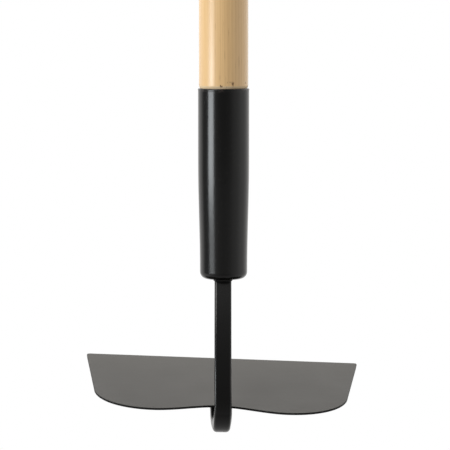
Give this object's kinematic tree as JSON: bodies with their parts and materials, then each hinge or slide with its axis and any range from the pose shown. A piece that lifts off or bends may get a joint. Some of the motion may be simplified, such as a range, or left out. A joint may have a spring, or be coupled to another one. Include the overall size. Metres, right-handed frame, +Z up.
{
  "type": "grub hoe",
  "caption": "Grub hoe with a wide two-lobed steel blade hooked under a forged neck, in a black ferrule on a long round ash handle.",
  "frame": {"origin": "on the handle's axis where its full round begins, 1.6 mm above the ferrule's mouth", "axes": "+Z up the handle to the butt, +Y the user's side, where the cutting edge points, +X across the blade"},
  "size_m": [0.2024, 0.1034, 1.6363],
  "materials": {
    "ash": "clear lacquered pale ash",
    "ferrule_paint": "gloss black enamel",
    "neck_paint": "satin black enamel",
    "blade_steel": "satin grey mill finish, clear coated",
    "weld_metal": "weld bead under satin black enamel",
    "rivet_steel": "black enamel over a steel head"
  },
  "bodies": {
    "root": {"handle": "ash", "ferrule": "ferrule_paint", "neck": "neck_paint", "blade": "blade_steel", "neck_weld": "neck_paint", "blade_weld_left": "weld_metal", "blade_weld_right": "weld_metal", "ferrule_rivet": "rivet_steel"}
  },
  "joints": []
}
